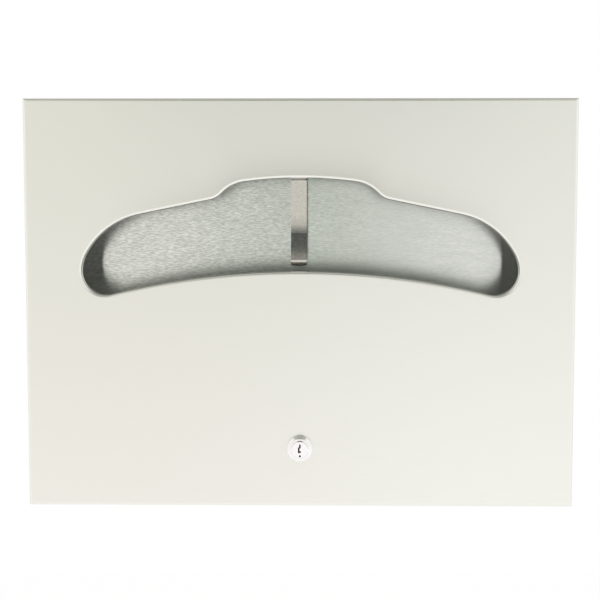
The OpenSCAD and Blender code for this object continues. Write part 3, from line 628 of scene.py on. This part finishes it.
to_right, to_rear, upward = (parts.outputs[axis] for axis in "XYZ")
right_squared = worked_out("MULTIPLY", to_right, to_right)
up_squared = worked_out("MULTIPLY", upward, upward)
away_from_axis = worked_out("SQRT", worked_out("ADD", right_squared, worked_out("ADD", up_squared, 0.0001)))
steepness = worked_out("DIVIDE", upward, away_from_axis)
overhead = worked_out("MULTIPLY", eased(steepness, 0.74, 0.88), eased(upward, 0.02, 0.42))
ahead = worked_out("MULTIPLY", eased(upward, -0.27, -0.02), eased(to_rear, -0.70, -0.95))
rightwards = eased(to_right, -0.16, 0.12)
walls = mixed(ahead, mixed(rightwards, (1.03, 0.98, 0.975), (1.16, 1.13, 1.155)),
              mixed(rightwards, (0.80, 0.805, 0.76), (0.82, 0.83, 0.80)))
ceiling = mixed(eased(upward, 0.72, 0.95), (0.52, 0.52, 0.48), (0.42, 0.42, 0.385))
ceiling = mixed(eased(to_rear, 0.40, 0.85), ceiling, (0.85, 0.85, 0.82))
gap = worked_out("MULTIPLY", eased(worked_out("ABSOLUTE", to_right), 0.18, 0.10), eased(upward, 0.66, 0.54))
gap = worked_out("MULTIPLY", gap, eased(to_rear, -0.5, -0.7))
ceiling = mixed(gap, ceiling, (0.10, 0.105, 0.10))
beside = eased(worked_out("ABSOLUTE", to_right), 0.35, 0.70)
walls = mixed(beside, walls, (0.98, 0.98, 0.96))
walls = mixed(eased(to_rear, 0.05, 0.50), walls, (0.80, 0.80, 0.785))
room = mixed(overhead, walls, ceiling)
paths = tree.nodes.new("ShaderNodeLightPath")
mirrored = worked_out("MAXIMUM", paths.outputs["Is Glossy Ray"], paths.outputs["Is Transmission Ray"])
light = mixed(mirrored, (1.0, 1.0, 0.99), room)
light = mixed(paths.outputs["Is Camera Ray"], light, (1.0, 1.0, 1.0))
link(tree, light, tree.nodes["Background"].inputs["Color"])

# Floor and lamps: a pale floor well below the dispenser, and two large soft lamps, one on either side.
# The lamps don't show in reflections, because a steel face that mirrors one would burn out.
FLOOR_Z, FLOOR_HALF, FLOOR_GLOW = -0.75, 1.8, 0.9
LAMP_SIZE, LAMP_OUT, LAMP_FRONT, LAMP_UP, LAMP_TILT, LAMP_SWING = 1.6, 2.2, 1.6, 0.5, 80, 54
floor = bpy.data.objects.new("floor", bpy.data.meshes.new("floor"))
floor.data.from_pydata([(x * FLOOR_HALF, y * FLOOR_HALF, FLOOR_Z)
                        for x, y in ((-1, -1), (1, -1), (1, 1), (-1, 1))], [], [(0, 1, 2, 3)])
bpy.context.collection.objects.link(floor)
floor_finish, floor_shader = new_finish("pale_floor", (0.94, 0.94, 0.93), 0.0, 0.8)
tree = floor_finish.node_tree
glow = tree.nodes.new("ShaderNodeEmission")
shown = tree.nodes.new("ShaderNodeMixShader")
rays = tree.nodes.new("ShaderNodeLightPath")
seen = tree.nodes.new("ShaderNodeMath")
seen.operation = "MAXIMUM"
link(tree, rays.outputs["Is Camera Ray"], seen.inputs[0])
link(tree, rays.outputs["Is Glossy Ray"], seen.inputs[1])
paleness = tree.nodes.new("ShaderNodeMath")
paleness.operation = "MULTIPLY"
paleness.inputs[1].default_value = FLOOR_GLOW
link(tree, seen.outputs["Value"], paleness.inputs[0])
link(tree, paleness.outputs["Value"], shown.inputs["Fac"])
link(tree, floor_shader.outputs["BSDF"], shown.inputs[1])
link(tree, glow.outputs["Emission"], shown.inputs[2])
link(tree, shown.outputs["Shader"], tree.nodes["Material Output"].inputs["Surface"])
floor.data.materials.append(floor_finish)
for side, watts in ((-1.0, 4.0), (1.0, 6.0)):
    lamp = bpy.data.objects.new("lamp", bpy.data.lights.new("lamp", "AREA"))
    lamp.data.size = LAMP_SIZE
    lamp.data.energy = watts
    lamp.location = (side * LAMP_OUT, -LAMP_FRONT, LAMP_UP)
    lamp.rotation_euler = (math.radians(LAMP_TILT), 0.0, math.radians(side * LAMP_SWING))
    lamp.visible_glossy = False
    bpy.context.collection.objects.link(lamp)
